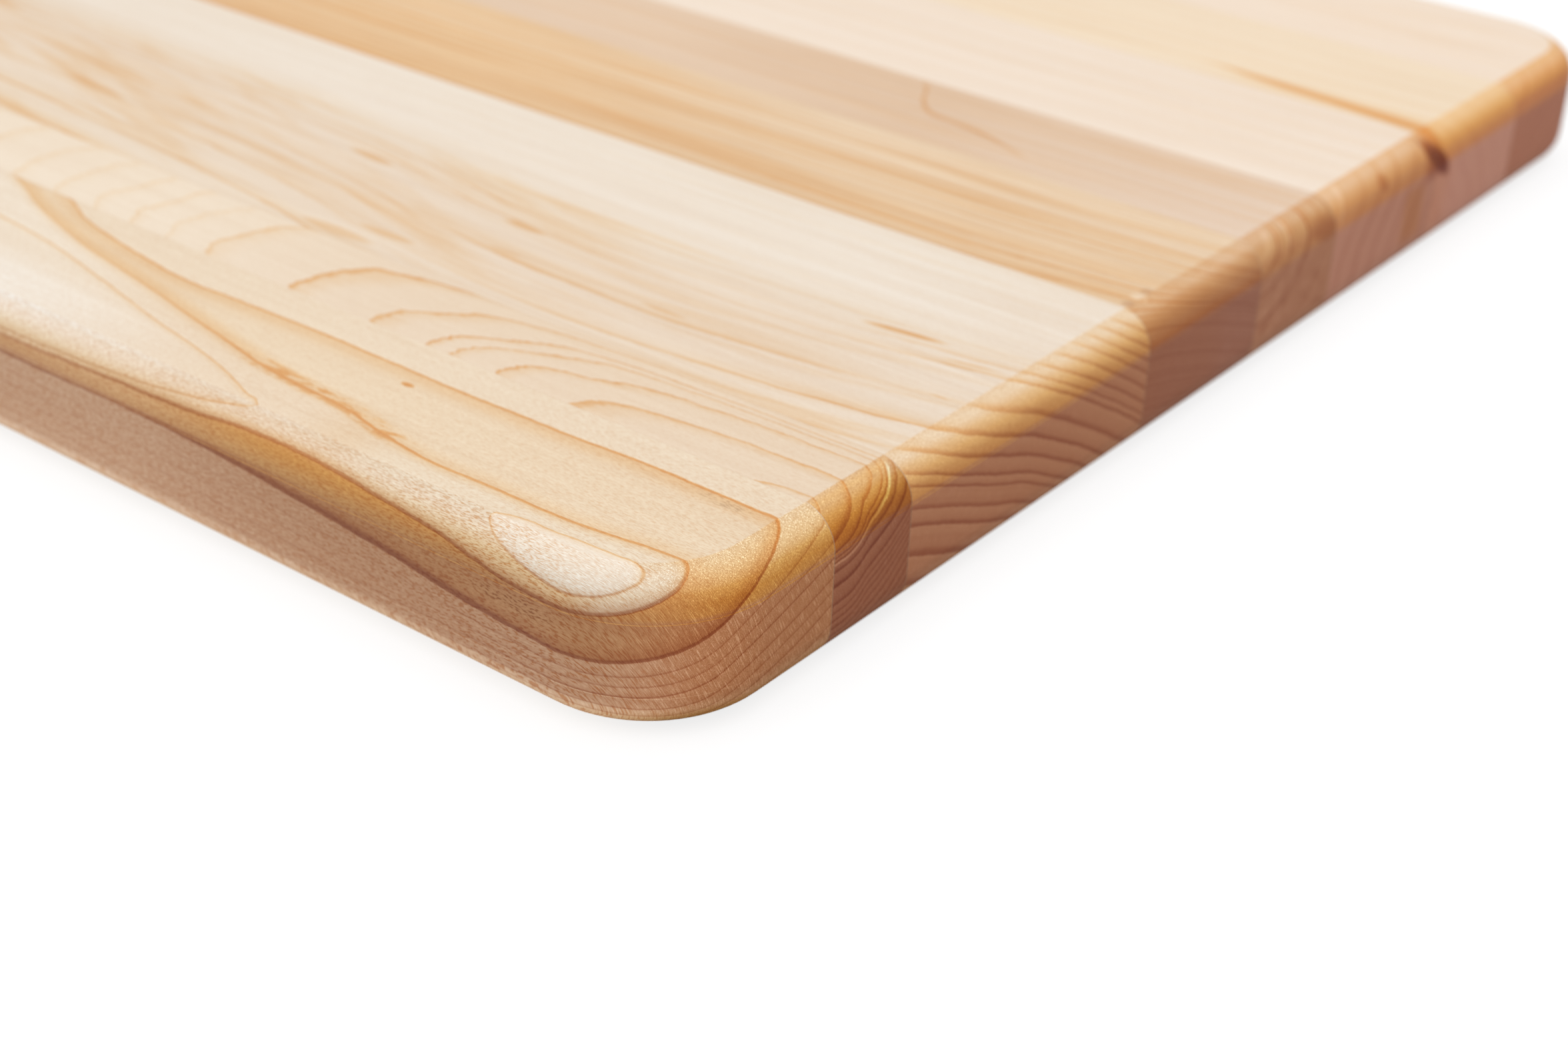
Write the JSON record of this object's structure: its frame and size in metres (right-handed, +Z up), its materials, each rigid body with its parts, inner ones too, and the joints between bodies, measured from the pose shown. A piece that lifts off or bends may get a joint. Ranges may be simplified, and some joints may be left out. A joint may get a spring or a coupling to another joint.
{
  "type": "cutting board",
  "caption": "Rectangular edge-glued maple cutting board with rounded corners and quarter-round top and bottom edges.",
  "frame": {"origin": "centre of the board's underside", "axes": "+X along the grain (the length), +Y across the staves (the width), +Z up out of the work face"},
  "size_m": [0.4572, 0.3048, 0.0238],
  "materials": {
    "maple_1": "satin",
    "maple_2": "satin",
    "maple_3": "satin",
    "maple_4": "satin",
    "maple_5": "satin",
    "maple_6": "satin",
    "maple_7": "satin",
    "maple_8": "satin",
    "wood_glue": "matte"
  },
  "bodies": {
    "root": {"stave_1": "maple_1", "stave_2": "maple_2", "stave_3": "maple_3", "stave_4": "maple_4", "stave_5": "maple_5", "stave_6": "maple_6", "stave_7": "maple_7", "stave_8": "maple_8", "glue_line_1": "wood_glue", "glue_line_2": "wood_glue", "glue_line_3": "wood_glue", "glue_line_4": "wood_glue", "glue_line_5": "wood_glue", "glue_line_6": "wood_glue", "glue_line_7": "wood_glue"}
  },
  "joints": []
}
